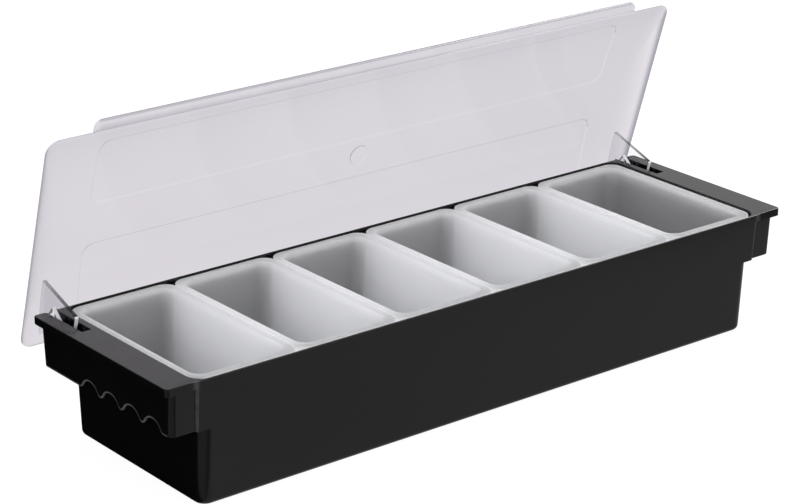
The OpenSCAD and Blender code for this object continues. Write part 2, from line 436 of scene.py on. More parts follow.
def feed(tree, given, socket):
    """Links an output to this input, or sets the input to a number or a colour."""
    if isinstance(given, bpy.types.NodeSocket):
        tree.links.new(given, socket)
    elif isinstance(given, tuple):
        socket.default_value = (*given, 1)
    else:
        socket.default_value = given


def maths(tree, operation, first, second):
    """A Math node. Each input is an output of another node or a number."""
    node = tree.nodes.new("ShaderNodeMath")
    node.operation = operation
    feed(tree, first, node.inputs[0])
    feed(tree, second, node.inputs[1])
    return node.outputs["Value"]


def switched(tree, factor, first, second):
    """Goes from the first number to the second as the factor goes from 0 to 1."""
    node = tree.nodes.new("ShaderNodeMix")
    feed(tree, factor, node.inputs["Factor"])
    feed(tree, first, node.inputs["A"])
    feed(tree, second, node.inputs["B"])
    return node.outputs["Result"]


def blended(tree, factor, first, second):
    """Goes from the first colour to the second as the factor goes from 0 to 1."""
    node = tree.nodes.new("ShaderNodeMix")
    node.data_type = "RGBA"
    feed(tree, factor, node.inputs["Factor"])
    feed(tree, first, node.inputs["A"])
    feed(tree, second, node.inputs["B"])
    return node.outputs["Result"]


def mixed(tree, factor, first, second):
    """Goes from the first shader to the second as the factor goes from 0 to 1."""
    node = tree.nodes.new("ShaderNodeMixShader")
    feed(tree, factor, node.inputs["Fac"])
    tree.links.new(first, node.inputs[1])
    tree.links.new(second, node.inputs[2])
    return node.outputs["Shader"]


def bump(tree, source, distance):
    node = tree.nodes.new("ShaderNodeBump")
    node.inputs["Distance"].default_value = distance
    tree.links.new(source, node.inputs["Height"])
    return node.outputs["Normal"]


def painted(tree, name):
    """An attribute that is painted on the mesh."""
    node = tree.nodes.new("ShaderNodeAttribute")
    node.attribute_name = name
    return node.outputs["Fac"]


def rays(tree, *kinds):
    """1 for rays of any of these kinds, 0 for others."""
    path = tree.nodes.new("ShaderNodeLightPath")
    result = path.outputs[kinds[0]]
    for kind in kinds[1:]:
        result = maths(tree, "MAXIMUM", result, path.outputs[kind])
    return result


# ---- materials of the object ------------------------------------------------

# Black plastic: the pale grey of its painted edge highlight, a line of light painted along the
# rounded edges
PAINTED_EDGE_HIGHLIGHT = (0.16, 0.16, 0.165)
BLACK_IOR = 1.45

# White plastic: the share of its light that comes through the wall
TRANSLUCENCY = 0.79
PAN_IOR = 1.49

# Clear plastic: what one surface lets through and mirrors, face-on and edge-on
LID_TINT = (0.837, 0.821, 0.845)
ARM_TINT = (0.975, 0.972, 0.980)
CLOUD_CONTRAST = 1.012
EDGE_ON_TINT = (0.60, 0.59, 0.63)
GRAZING_TINT = 0.5
# Share of the painted shade on the lid's rim
RIM_SHARE = 0.75
HEAD_ON_MIRROR = 0.015
GRAZING_MIRROR = 0.5
SHADOW_TINT = (0.95, 0.95, 0.95)

# Painted edges of the clear arms, a painted highlight and a painted dark reflection: their
# darkest and lightest grey
PAINTED_BRIGHT_GREYS = (0.90, 0.96)
PAINTED_DARK_GREYS = (0.015, 0.03)
COOL = 1.03
DULL_ROUGHNESS = 0.6
DULL_IOR = 1.1


def black_plastic():
    """Glossy black plastic, with a painted highlight: paler along the edges that the mesh
    marks.
    """
    material, tree, surface = new_material("black_plastic")
    shader = tree.nodes.new("ShaderNodeBsdfPrincipled")
    plain = colours(tree, noise(tree, 9, 4), (
        (0.3, (0.0029, 0.0028, 0.0032)), (0.7, (0.0043, 0.0040, 0.0046))))
    # Painted highlight: the marked edges turn towards pale grey, in patches
    patchy = ramp(tree, noise(tree, 220, 3), 0.55, 1.0)
    edge_highlight = maths(tree, "MULTIPLY", painted(tree, "painted_edge_highlight"), patchy)
    tree.links.new(blended(tree, edge_highlight, plain, PAINTED_EDGE_HIGHLIGHT), shader.inputs["Base Color"])
    tree.links.new(ramp(tree, noise(tree, 60, 5), 0.18, 0.25), shader.inputs["Roughness"])
    tree.links.new(bump(tree, noise(tree, 2600, 2), 0.00001), shader.inputs["Normal"])
    shader.inputs["IOR"].default_value = BLACK_IOR
    tree.links.new(shader.outputs["BSDF"], surface)
    return material


def white_plastic():
    """Milky plastic whose thin walls let light through."""
    material, tree, surface = new_material("white_plastic")
    shader = tree.nodes.new("ShaderNodeBsdfPrincipled")
    through = tree.nodes.new("ShaderNodeBsdfTranslucent")
    milk = colours(tree, noise(tree, 14, 4), (
        (0.3, (0.955, 0.957, 0.966)), (0.7, (0.966, 0.968, 0.977))))
    tree.links.new(milk, shader.inputs["Base Color"])
    tree.links.new(milk, through.inputs["Color"])
    tree.links.new(ramp(tree, noise(tree, 90, 4), 0.36, 0.44), shader.inputs["Roughness"])
    tree.links.new(bump(tree, noise(tree, 1800, 2), 0.00001), shader.inputs["Normal"])
    shader.inputs["IOR"].default_value = PAN_IOR
    tree.links.new(mixed(tree, TRANSLUCENCY, shader.outputs["BSDF"], through.outputs["BSDF"]),
                   surface)
    return material


def clear_surface(tree, tint):
    """A surface that tints what is behind it and mirrors a little, and tints more where it is
    seen edge-on, and where the mesh's rim attribute paints shade on the lid's rim and panel
    edges."""
    weight = tree.nodes.new("ShaderNodeLayerWeight")
    weight.inputs["Blend"].default_value = 0.5
    facing = weight.outputs["Facing"]
    pale = tuple(CLOUD_CONTRAST * c for c in tint)
    deep = tuple(share * c for share, c in zip(EDGE_ON_TINT, tint))
    face_on = colours(tree, noise(tree, 6, 3), ((0.3, tint), (0.7, pale)))
    grazing = ramp(tree, facing, 0, GRAZING_TINT, 0.15, 1.0)
    # The rim attribute adds painted shade
    edge_on = maths(tree, "MAXIMUM", grazing, painted(tree, "rim"))
    clear = tree.nodes.new("ShaderNodeBsdfTransparent")
    tree.links.new(blended(tree, edge_on, face_on, deep), clear.inputs["Color"])
    gloss = tree.nodes.new("ShaderNodeBsdfGlossy")
    tree.links.new(ramp(tree, noise(tree, 40, 4), 0.03, 0.06), gloss.inputs["Roughness"])
    tree.links.new(bump(tree, noise(tree, 30, 2), 0.00002), gloss.inputs["Normal"])
    steep = maths(tree, "POWER", facing, 5.0)
    mirror = ramp(tree, steep, HEAD_ON_MIRROR, GRAZING_MIRROR, 0, 1)
    return mixed(tree, mirror, clear.outputs["BSDF"], gloss.outputs["BSDF"])


def dull_surface(tree, low, high):
    """A rough surface, from low to high grey."""
    shader = tree.nodes.new("ShaderNodeBsdfPrincipled")
    dusty = colours(tree, noise(tree, 300, 3), (
        (0.3, (low, low, low * COOL)), (0.7, (high, high, high * COOL))))
    tree.links.new(dusty, shader.inputs["Base Color"])
    shader.inputs["Roughness"].default_value = DULL_ROUGHNESS
    shader.inputs["IOR"].default_value = DULL_IOR
    return shader.outputs["BSDF"]


def clear_plastic(name, tint, edges):
    """Clear moulded plastic that casts only a faint shadow. With edges, the mesh says where a
    painted highlight turns the edges dull white, and where a painted reflection of the tub's
    black turns them dark grey."""
    material, tree, surface = new_material(name)
    shader = clear_surface(tree, tint)
    if edges:
        # Painted highlight on the marked narrow faces, and a painted dark reflection on the
        # long edge
        shader = mixed(tree, painted(tree, "painted_bright_edge"), shader, dull_surface(tree, *PAINTED_BRIGHT_GREYS))
        shader = mixed(tree, painted(tree, "painted_dark_edge"), shader, dull_surface(tree, *PAINTED_DARK_GREYS))
    open_air = tree.nodes.new("ShaderNodeBsdfTransparent")
    open_air.inputs["Color"].default_value = (*SHADOW_TINT, 1)
    tree.links.new(mixed(tree, rays(tree, "Is Shadow Ray"), shader, open_air.outputs["BSDF"]),
                   surface)
    return material


# ---- base -------------------------------------------------------------------


def tub_depth(z):
    """Front-to-back size of the tub's outside at height z."""
    return FOOT_DEPTH + (BASE_DEPTH - FOOT_DEPTH) * z / BASE_HEIGHT


def build_tub(shell):
    """The tub's outside up to the plate, and its inside down to the floor."""
    rings = []
    for inset, z in quarter(FOOT_RADIUS, 6):
        rings.append(at(rounded(
            TUB_LENGTH - 2 * inset, tub_depth(z) - 2 * inset, TUB_CORNER - inset), z))
    low = tub_depth(SKIRT_BOTTOM)
    top = tub_depth(PLATE_BOTTOM)
    joint_z = PLATE_BOTTOM + BURIED
    rings.append(at(rounded(TUB_LENGTH, low, TUB_CORNER), SKIRT_BOTTOM))
    rings.append(at(rounded(2 * SHOULDER_LOW_X, low, SHOULDER_CORNER), SKIRT_BOTTOM))
    rings.append(at(rounded(2 * SHOULDER_TOP_X, top, SHOULDER_CORNER), PLATE_BOTTOM))
    rings.append(at(rounded(2 * SHOULDER_TOP_X - 2 * BURIED, top - 2 * BURIED,
                            SHOULDER_CORNER - BURIED), joint_z))
    rings.append(at(rounded(INNER_LENGTH + 2 * BURIED, top - 2 * WALL + 2 * BURIED,
                            INNER_CORNER), joint_z))
    rings.append(at(rounded(INNER_LENGTH, top - 2 * WALL, INNER_CORNER), PLATE_BOTTOM))
    rings.append(at(rounded(TUB_LENGTH - 2 * END_WALL, low - 2 * WALL, INNER_CORNER),
                    SKIRT_BOTTOM))
    for inset, z in reversed(quarter(FLOOR_RADIUS, 5)):
        rings.append(at(rounded(
            TUB_LENGTH - 2 * WALL - 2 * inset, FOOT_DEPTH - 2 * WALL - 2 * inset,
            INNER_CORNER - inset / 2), WALL + z))
    shell.tube(rings)


# Along the plate's long edges, where the rim's edge turns into the ear's
EAR_START = 226
EAR_FULL = 236


def plate_outline():
    """Outline of the plate with its slots and finger ends, counter-clockwise. Its straight
    sides have points where their edge rounding changes."""
    half = PLATE_LENGTH / 2
    back = BASE_DEPTH / 2
    finger_x = half - FINGER_RADIUS
    soft = 0.6
    front_xs = (0, 120, 222, EAR_START, 229, 232, EAR_FULL, 242)
    end_ys = (-30, 10, 40, 58)
    slot_ys = (45, 60, 68)
    back_xs = (230, EAR_START, 120)
    right = [(x, -back) for x in front_xs]
    right += arc(half - PLATE_CORNER, -back + PLATE_CORNER, PLATE_CORNER, -90, 0, 6)
    right += [(half, y) for y in end_ys]
    right += arc(finger_x, back - FINGER_RADIUS, FINGER_RADIUS, 0, 180, 20)
    right += [(SLOT_OUT, y) for y in reversed(slot_ys[:2])]
    right += arc(SLOT_OUT - soft, SLOT_FRONT + soft, soft, 0, -90, 3)
    right += arc(SLOT_IN + soft, SLOT_FRONT + soft, soft, -90, -180, 3)
    right += [(SLOT_IN, y) for y in slot_ys]
    right += arc(SLOT_IN - soft, back - soft, soft, 0, 90, 3)
    right += [(x, back) for x in back_xs]
    left = [(-x, y) for x, y in reversed(right[1:])]
    return right + [(0, back)] + left


def plate_edges(outline):
    """For each point of the plate's outline: the radius of its top edge and of its lower
    edge, how much of a quarter turn the top edge makes, its dip and its lean."""
    slot_soft = 0.35
    rim_soft = 0.7
    ear_less = 0.25
    back_soft = 3
    back_lip_room = 2.3
    low_sharp = 0.02
    low_soft = 0.35
    slot_end_y = BASE_DEPTH / 2 - 5
    rows = []
    for (x, y), n in zip(outline, outward(outline)):
        ear = ease(abs(x), EAR_START, EAR_FULL)
        in_slot = SLOT_IN - 0.1 < abs(x) < SLOT_OUT + 0.1 and y < slot_end_y
        top = slot_soft if in_slot else rim_soft - ear_less * ear
        back = max(n.y, 0) ** 2 if y > 60 else 0
        top += (back_soft - top) * back
        room = back_lip_room if abs(x) < SLOT_IN else back_soft
        turn = math.pi / 2 if top <= room else math.acos(1 - room / top)
        dip = LIP_DIP * (1 - ear) if y < 0 else 0
        low = low_sharp + (0 if in_slot else low_soft * ear)
        rows.append((top, low, turn, dip, WALL_LEAN * (1 - ear)))
    return rows


def plate_ring(outline, edges, share, upper):
    """One ring round the plate's top edge (upper) or its lower edge, at a share of the turn."""
    insets = []
    heights = []
    for top, low, turn, dip, lean in edges:
        if upper:
            t = turn * share
            height = BASE_HEIGHT - dip - top + top * math.sin(t)
            inset = top * (1 - math.cos(t))
        else:
            t = math.pi / 2 * share
            height = PLATE_BOTTOM + low - low * math.sin(t)
            inset = low * (1 - math.cos(t))
        heights.append(height)
        insets.append(inset + lean * (BASE_HEIGHT - height))
    flat = offset_points(outline, insets)
    return [Vector((x, y, h)) for (x, y), h in zip(flat, heights)]


def recess_rings():
    """The recess that the pans' rims lie in, from its top edge down to the plate's underside.
    Its top edge is rounded more at the ends and less at the back."""
    steps = 6
    front_soft = 0.45
    end_more = 0.3
    back_less = 0.25
    dip_end = 221
    level_start = 230
    edge = rounded(RECESS_LENGTH, RECESS_DEPTH, RECESS_CORNER, 10, (), RECESS_Y)
    radius = [front_soft + end_more * n.x ** 2 - back_less * max(n.y, 0) ** 2
              for n in outward(edge)]
    dips = [LIP_DIP * (1 - ease(abs(x), dip_end, level_start)) if y < 0 else 0
            for x, y in edge]
    rings = []
    for i in range(steps + 1):
        t = math.pi / 2 * i / steps
        flat = offset_points(edge, [-r * (1 - math.sin(t)) for r in radius])
        rings.append([Vector((x, y, BASE_HEIGHT - d - r * (1 - math.cos(t))))
                      for (x, y), r, d in zip(flat, radius, dips)])
    draft_x = 0.1
    draft_y = 0.3
    rings.append(at(rounded(RECESS_LENGTH - draft_x, RECESS_DEPTH - draft_y, RECESS_CORNER,
                            10, (), RECESS_Y), LEDGE_Z))
    mouth = rounded(INNER_LENGTH, tub_depth(PLATE_BOTTOM) - 2 * WALL, INNER_CORNER, 10)
    rings.append(at(mouth, LEDGE_Z))
    rings.append(at(mouth, PLATE_BOTTOM))
    return rings


def build_plate(shell):
    """The top plate with its ears, the recess for the pan rims and the ledge under them."""
    outline = plate_outline()
    edges = plate_edges(outline)
    rings = [plate_ring(outline, edges, i / 6, True) for i in range(6, -1, -1)]
    rings += [plate_ring(outline, edges, i / 3, False) for i in range(4)]
    outer = shell.loft(rings)
    hole = shell.loft(recess_rings())
    shell.between(outer[0], hole[0])
    shell.between(outer[-1], hole[-1])


def grip_edge(y):
    """Height of the skirt's lower edge at y: scallops with rounded points between them. The
    arc of a point touches the skirt's lower edge and the scallops on both its sides."""
    half = GRIP_PITCH / 2
    centre_drop = GRIP_RADIUS - GRIP_RISE
    point = (half ** 2 + centre_drop ** 2 - GRIP_RADIUS ** 2) / (2 * GRIP_RISE)
    reach = half * GRIP_RADIUS / (GRIP_RADIUS + point)
    best = SKIRT_BOTTOM
    for i in range(GRIP_COUNT):
        dy = abs(y - GRIP_MIDDLE - (i - (GRIP_COUNT - 1) / 2) * GRIP_PITCH)
        if dy < reach:
            rise = math.sqrt(GRIP_RADIUS ** 2 - dy ** 2) - centre_drop
            best = max(best, SKIRT_BOTTOM + rise)
        elif dy < half:
            rise = point - math.sqrt(point ** 2 - (half - dy) ** 2)
            best = max(best, SKIRT_BOTTOM + rise)
    return best


def skirt_path(share):
    """Plan of the right-hand skirt's outside, from the front of the tub round to its back, at
    a share of its height."""
    z = SKIRT_BOTTOM + (PLATE_BOTTOM - SKIRT_BOTTOM) * share
    body_x = SHOULDER_LOW_X + (SHOULDER_TOP_X - SHOULDER_LOW_X) * share
    end = SKIRT_LOW_X + (SKIRT_TOP_X - SKIRT_LOW_X) * share
    face = tub_depth(z) / 2
    flat = face - SKIRT_SETBACK
    fillet = 0.8
    drop = SHOULDER_CORNER - SKIRT_SETBACK + fillet
    across = math.sqrt((SHOULDER_CORNER + fillet) ** 2 - drop ** 2)
    turn = math.degrees(math.atan2(drop, across))
    inside_tub = (body_x - 1.0, -face + 1.6)
    front = [inside_tub]
    front += arc(body_x - SHOULDER_CORNER + across, -flat - fillet, fillet, 180 - turn, 90, 5)
    corner = arc(end - SKIRT_CORNER, -flat + SKIRT_CORNER, SKIRT_CORNER, -90, 0, 8)
    wall_start = -63
    spacing = 0.75
    wall = [(end, wall_start + spacing * i) for i in range(125)]
    jamb = 0.25
    window = [(x, flat) for x in (SLOT_OUT, SLOT_OUT - jamb, SLOT_IN + jamb, SLOT_IN)]
    back_corner = [(x, -y) for x, y in reversed(corner)]
    back = [(x, -y) for x, y in reversed(front)]
    return front + corner + wall + back_corner + window + back


def skirt_bottom_at(x, y):
    """Height of the skirt's lower edge: scallops on its end wall, and behind the slot the
    underside of a bridge, which leaves a window for the arm."""
    if x > SKIRT_LOW_X - 0.01:
        return grip_edge(y)
    if y > 0 and SLOT_IN + 0.1 < x < SLOT_OUT - 0.1:
        return BRIDGE_Z
    return SKIRT_BOTTOM


def build_skirt(shell, side):
    """The skirt under one ear, with a rounded lower edge that follows the scallops."""
    low = [Vector(p) for p in skirt_path(0)]
    top = [Vector(p) for p in skirt_path(1)]
    top_z = PLATE_BOTTOM + BURIED
    last = len(low) - 1
    outside = quarter(0.8, 4)
    inside = quarter(0.5, 3)
    # Height over the skirt's lower edge within which the painted highlight fades out
    highlight_band = 1.5
    sections = []
    for i in range(len(low)):
        bottom = skirt_bottom_at(*low[i])
        profile = [(top_z, 0), (bottom + highlight_band, 0)]
        profile += [(bottom + height, inset) for inset, height in reversed(outside)]
        profile += [(bottom + height, SKIRT_WALL - inset) for inset, height in inside]
        profile += [(top_z, SKIRT_WALL)]
        before = max(i - 1, 0)
        after = min(i + 1, last)
        section = []
        for z, depth in profile:
            share = (z - SKIRT_BOTTOM) / (PLATE_BOTTOM - SKIRT_BOTTOM)
            along = low[after].lerp(top[after], share) - low[before].lerp(top[before], share)
            inward = Vector((-along.y, along.x)).normalized()
            p = low[i].lerp(top[i], share) + inward * depth
            section.append(Vector((side * p.x, p.y, z)))
        sections.append(section)
    shell.tube(sections)


def build_boss(shell, root, mouth, side):
    """A round boss along the hinge axis with a blind bore for the lid's peg in its mouth."""
    back = math.copysign(1, root - mouth)
    depth = min(BORE_DEPTH, abs(root - mouth) - BORE_FLOOR)
    soft = 0.3
    profile = [
        (root, BOSS_RADIUS),
        (mouth + back * soft, BOSS_RADIUS),
        (mouth, BOSS_RADIUS - soft),
        (mouth, BORE_RADIUS + soft),
        (mouth + back * soft, BORE_RADIUS),
        (mouth + back * depth, BORE_RADIUS),
    ]
    shell.tube([circle_x(side * x, r) for x, r in profile])


def build_shelf(shell):
    """The shelf along the back wall, under the pans' back rims."""
    outer = tub_depth(LEDGE_Z) / 2
    front = outer - WALL - SHELF_REACH
    foot = LEDGE_Z - SHELF_HEIGHT - SHELF_REACH
    soft = 0.5
    root = outer - 1
    section = [(root, LEDGE_Z), (front + soft, LEDGE_Z), (front, LEDGE_Z - soft),
               (front, LEDGE_Z - SHELF_HEIGHT), (outer - WALL, foot), (root, foot)]
    shell.tube([[Vector((x, y, z)) for y, z in section] for x in (-BOSS_START, BOSS_START)])


# Strength of the painted highlight on the skirts' lower edges, the foot and the shoulders'
# corners
SKIRT_HIGHLIGHT = 1.0
FOOT_HIGHLIGHT = 0.3
SHOULDER_HIGHLIGHT = 0.35


def painted_highlight_at(x, y, z):
    """How strong the painted highlight is at a place on the base: a pale line standing in for
    the light caught by the skirts' lower edges, the foot and the upright corners of the
    shoulders."""
    on_skirt = abs(x) > SKIRT_LOW_X - 1.2 and abs(y) < BASE_DEPTH / 2 - 7.5
    at_corner = abs(abs(x) - SHOULDER_LOW_X) < 1.3 and abs(y) > tub_depth(z) / 2 - 1.4
    if on_skirt and -0.1 < z - grip_edge(y) < 0.9:
        return SKIRT_HIGHLIGHT
    if 0.4 < z < 1.5:
        return FOOT_HIGHLIGHT
    if at_corner and z > SKIRT_BOTTOM - 0.6:
        return SHOULDER_HIGHLIGHT
    return 0.0


def build_base(material):
    """The black moulding: tub, plate, shelf, skirts and the bosses that bear the lid's pegs."""
    shell = Shell()
    build_tub(shell)
    build_plate(shell)
    build_shelf(shell)
    reach = HUB_HALF + BOSS_GAP
    for side in (1, -1):
        build_skirt(shell, side)
        build_boss(shell, BOSS_START, ARM_X - reach, side)
        build_boss(shell, ARM_X + reach + BOSS_LENGTH, ARM_X + reach, side)
    mesh = shell.mesh("base")
    # Paints the edge highlight onto the base's points
    paint(mesh, "painted_edge_highlight", "POINT", [painted_highlight_at(*vertex.co) for vertex in mesh.vertices])
    add_piece("base", mesh, material, "base_tray")


# ---- pans -------------------------------------------------------------------


def bin_ring(z, grow, extra=0.0):
    """A ring round the pan's leaning walls, at z above its underside."""
    inset = (PAN_HEIGHT - z) * PAN_LEAN + extra
    share = max(z - PAN_FOOT_RADIUS, 0) / (PAN_HEIGHT - PAN_FOOT_RADIUS)
    corner = PAN_FOOT_CORNER + (PAN_CORNER - PAN_FOOT_CORNER) * share
    return at(rounded(
        PAN_WIDTH - 2 * RIM_SIDE + 2 * grow - 2 * inset,
        PAN_DEPTH - 2 * RIM_FRONT + 2 * grow - 2 * inset, corner + grow, 10), z)


def rim_ring(z, inset):
    """A ring round the edge of the pan's rim, at z above its underside."""
    return at(rounded(
        PAN_WIDTH - 2 * inset, PAN_DEPTH - 2 * inset, PAN_RIM_CORNER - inset, 10), z)


def pan_mesh(index):
    """A pan: its outside, the rim that it hangs by, and its inside."""
    rim_bottom = PAN_HEIGHT - PAN_RIM
    low_soft = 0.35
    top_soft = 0.6
    rings = [bin_ring(z, 0, inset) for inset, z in quarter(PAN_FOOT_RADIUS, 6)]
    rings.append(bin_ring(rim_bottom - low_soft, 0))
    rings.append(bin_ring(rim_bottom, low_soft))
    rings.append(rim_ring(rim_bottom, low_soft))
    rings.append(rim_ring(rim_bottom + low_soft, 0))
    for inset, drop in reversed(quarter(top_soft, 4)):
        rings.append(rim_ring(PAN_HEIGHT - drop, inset))
    for inset, drop in quarter(top_soft, 4):
        rings.append(bin_ring(PAN_HEIGHT - drop, inset - PAN_WALL))
    for inset, z in reversed(quarter(PAN_FOOT_RADIUS - PAN_WALL, 6)):
        rings.append(bin_ring(PAN_WALL + z, -PAN_WALL, inset))
    mesh = tube_mesh(f"pan_{index}_shell", rings)
    x = (index - (PAN_COUNT + 1) / 2) * PAN_PITCH - PAN_SHIFT
    mesh.transform(Matrix.Translation((x, PAN_Y, PAN_BOTTOM)))
    return mesh


# ---- lid --------------------------------------------------------------------


def panel_share(x, y):
    """1 on a raised panel and 0 off it, with a soft step between."""
    from_middle = abs(y + PANEL_FORWARD) - (PANEL_GAP + PANEL_DEPTH) / 2
    dx = max(abs(x) - PANEL_X + PANEL_CORNER, 0)
    dy = max(abs(from_middle) - PANEL_DEPTH / 2 + PANEL_CORNER, 0)
    return 1 - ease(math.hypot(dx, dy) - PANEL_CORNER, -PANEL_SOFT, PANEL_SOFT)


# Where the mesh has lines across a panel's edge, from that edge
ACROSS_STEP = (0.4, 0.2, 0, -0.2, -0.4)


def lid_lines():
    """Distances from the lid's middle line at which its rings run, close together at the rim
    and at the panels' edges and corners."""
    lines = [LID_DEPTH / 2 - d for d in (0, 0.4, 1, 2, 3.4, 5, 6.8, 8.4, 11.8, 13)]
    lines += [60, 58.6, 57.2, 55.8, 54.4, 52.8, 49, 44, 38, 32, 27.5]
    lines += [25.6, 24.2, 22.8, 21.4, 20, 18.8, 15.8, 14.8, 12, 9.5]
    for middle in (PANEL_FORWARD, -PANEL_FORWARD):
        for edge in (PANEL_GAP / 2, PANEL_GAP / 2 + PANEL_DEPTH):
            lines += [edge + middle + d for d in ACROSS_STEP]
    return sorted(lines, reverse=True)


def lid_along():
    """Points along the lid's long sides, close together at the panels' ends."""
    xs = [0, 60, 120, 170, 192, 198, 200.5, 202.5, 204, 205.5, 206.8, 208, 208.8]
    xs += [PANEL_X - d for d in ACROSS_STEP]
    xs += [211.4, 212.6]
    return [-x for x in reversed(xs[1:])] + xs


def lid_ring(y, margin, end_margin, step):
    """A ring round the dome that runs at y from its middle line, margin inside its surface,
    with the panels raised by step."""
    swell = y / (LID_DEPTH / 2)
    roll = -END_ROLL * DOME_POWER * math.log(swell)
    length = LID_LENGTH - 2 * end_margin - 2 * roll
    depth = (LID_DEPTH - 2 * margin) * swell
    along = lid_along()
    side_room = 0.8
    end_room = 0.9
    corner = min(LID_CORNER - margin, depth / 2 - side_room, length / 2 - along[-1] - end_room)
    z = (LID_RISE - margin) * (1 - swell ** DOME_POWER)
    return [Vector((px, py, z + step * panel_share(px, py)))
            for px, py in rounded(length, depth, corner, 8, along)]


def dome_mesh():
    """The lid's dome: its outside, one ring in the rim's underside, and its inside."""
    lines = lid_lines()
    outer = [lid_ring(y, 0, 0, PANEL_STEP) for y in reversed(lines)]
    rim = lid_ring(lines[0], LID_WALL / 4, 0.4 * LID_END_WALL, 0)
    inner = [lid_ring(y, LID_WALL, LID_END_WALL, 0) for y in lines]
    return tube_mesh("dome", outer + [rim] + inner)


def lip_mesh():
    """The finger lip along the lid's front edge, rooted in the middle of the lid's wall."""
    half = LIP_LENGTH / 2
    front = -LID_DEPTH / 2 - LIP_REACH
    back = -LID_DEPTH / 2 + LID_WALL / 2
    soft = 0.4
    profile = quarter(soft, 3)
    profile += [(inset, LID_WALL - drop) for inset, drop in reversed(profile)]
    rings = []
    for inset, z in profile:
        radius = LIP_CORNER - inset
        outline = arc(LIP_CORNER - half, front + LIP_CORNER, radius, 180, 270, 8)
        outline += arc(half - LIP_CORNER, front + LIP_CORNER, radius, 270, 360, 8)
        outline += [(half - inset, back), (inset - half, back)]
        rings.append(at(outline, z))
    return tube_mesh("lip", rings)


def gate_mesh():
    """The round mark where the lid was filled in its mould."""
    rings = []
    for radius, z in ((GATE_RADIUS, -1), (GATE_RADIUS, 0.7), (GATE_RADIUS - 0.2, 0.95),
                      (GATE_RADIUS - 0.6, 1)):
        circle = arc(0, -GATE_FORWARD, radius, 0, 360, 48)[:-1]
        rings.append(at(circle, LID_RISE + z))
    return tube_mesh("gate", rings)


def on_forward_edge(x, y, z):
    """Whether this is on the lid's outside, on the forward edge of a raised panel."""
    swell = min(abs(y) / (LID_DEPTH / 2), 1)
    outside = z > (LID_RISE - 1) * (1 - swell ** DOME_POWER)
    faces_forward = panel_share(x, y + 0.1) > panel_share(x, y - 0.1)
    return outside and faces_forward and 0.02 < panel_share(x, y) < 0.98


def rim_at(x, y, z):
    """How much painted shade a place on the lid gets, a deeper tint standing in for a wall seen
    edge-on: in full on the panels' forward edges, and in part on the rim, fading out away from
    it."""
    if on_forward_edge(x, y, z):
        return 1.0
    if y < -LID_DEPTH / 2 - 0.1:
        return RIM_SHARE * (1 - ease(y + LID_DEPTH / 2 + LIP_REACH, 0.2, 1))
    from_end = ease(LID_LENGTH / 2 - abs(x), 0.4, 3.5)
    from_side = ease(LID_DEPTH / 2 - abs(y), 0.1, 0.8)
    return RIM_SHARE * (1 - min(from_end, from_side))


def lid_mesh():
    """The whole lid, laid out closed and then opened."""
    mesh = joined([dome_mesh(), lip_mesh(), gate_mesh()], "lid_shell")
    # Paints the shade of the rim and of the panels' forward edges onto the lid's points
    paint(mesh, "rim", "POINT", [rim_at(*vertex.co) for vertex in mesh.vertices])
    mesh.transform(Matrix.Translation((0, LID_BACK - LID_DEPTH / 2, LID_Z)))
    return opened(mesh)


# ---- hinge arms -------------------------------------------------------------


def arm_outline():
    """The closed arm's outline, as (v, d). It follows the lid's inside, goes down to the tip,
    back to the hub and up round the hook, which leaves room for the bridge behind the slot."""
    rise = LID_RISE - LID_WALL
    pin_v = LID_BACK - HINGE_Y
    pin_d = HINGE_Z - LID_Z
    below_lid = 0.01
    shares = (0.4, 0.5, 0.6, 0.68, 0.75, 0.81, 0.87)
    points = []
    for share in shares:
        swell = (1 - share) ** (1 / DOME_POWER)
        inner_v = LID_DEPTH / 2 - (LID_DEPTH / 2 - LID_WALL) * swell
        points.append((inner_v + 5 * share ** 6, share * rise - below_lid))
    points += [(ARM_FRONT, shares[-1] * rise - below_lid)]
    points += [(TIP_V, TIP_D + TIP_CHAMFER), (TIP_V - TIP_CHAMFER, TIP_D)]
    points += [(TIP_V - TIP_LENGTH, TIP_D)]
    neck = math.radians(270 - NECK_ANGLE)
    points += [(pin_v + HUB_RADIUS * math.cos(neck), pin_d + HUB_RADIUS * math.sin(neck))]
    points += [(pin_v + 0.3, pin_d + HUB_RADIUS)]
    points += NOTCH
    points += arc(pin_v, pin_d, HOOK_RADIUS, HOOK_START, HOOK_END, 8)
    points += [(ARM_BACK + 2, -0.4), (ARM_BACK, 0.2)]
    return points


def disc(name, middle, half, radius):
    """A round disc on the hinge axis with softened edges."""
    soft = 0.3
    profile = ((-half, radius - soft), (soft - half, radius), (half - soft, radius),
               (half, radius - soft))
    return tube_mesh(name, [circle_x(middle + x, r) for x, r in profile])


# Shares of the painted highlight on the arms' narrow faces and of the painted dark reflection
# on their long edge
BRIGHT_EDGE_SHARE = 0.95
DARK_EDGE_AT_LID = 0.4
DARK_EDGE_TO_TIP = 0.55


def mark_arm_edges(mesh):
    """Marks how far each of the arm's narrow faces gets a painted highlight, or a painted
    reflection of the tub's black: the long edge from the lid to the tip darkens towards the
    tip."""
    painted_bright_edge = []
    painted_dark_edge = []
    for face in mesh.polygons:
        narrow = abs(face.normal.x) < 0.8
        at_lid = face.center.z > LID_Z - 0.5
        long_edge = face.center.y < LID_BACK - TIP_V and face.center.z > LID_Z + TIP_D + 1
        for index in face.vertices:
            drop = ease(LID_Z - mesh.vertices[index].co.z, -5, -TIP_D)
            painted_bright_edge.append(BRIGHT_EDGE_SHARE if narrow and not long_edge and not at_lid else 0.0)
            painted_dark_edge.append(DARK_EDGE_AT_LID + DARK_EDGE_TO_TIP * drop if narrow and long_edge else 0.0)
    paint(mesh, "painted_bright_edge", "CORNER", painted_bright_edge)
    paint(mesh, "painted_dark_edge", "CORNER", painted_dark_edge)


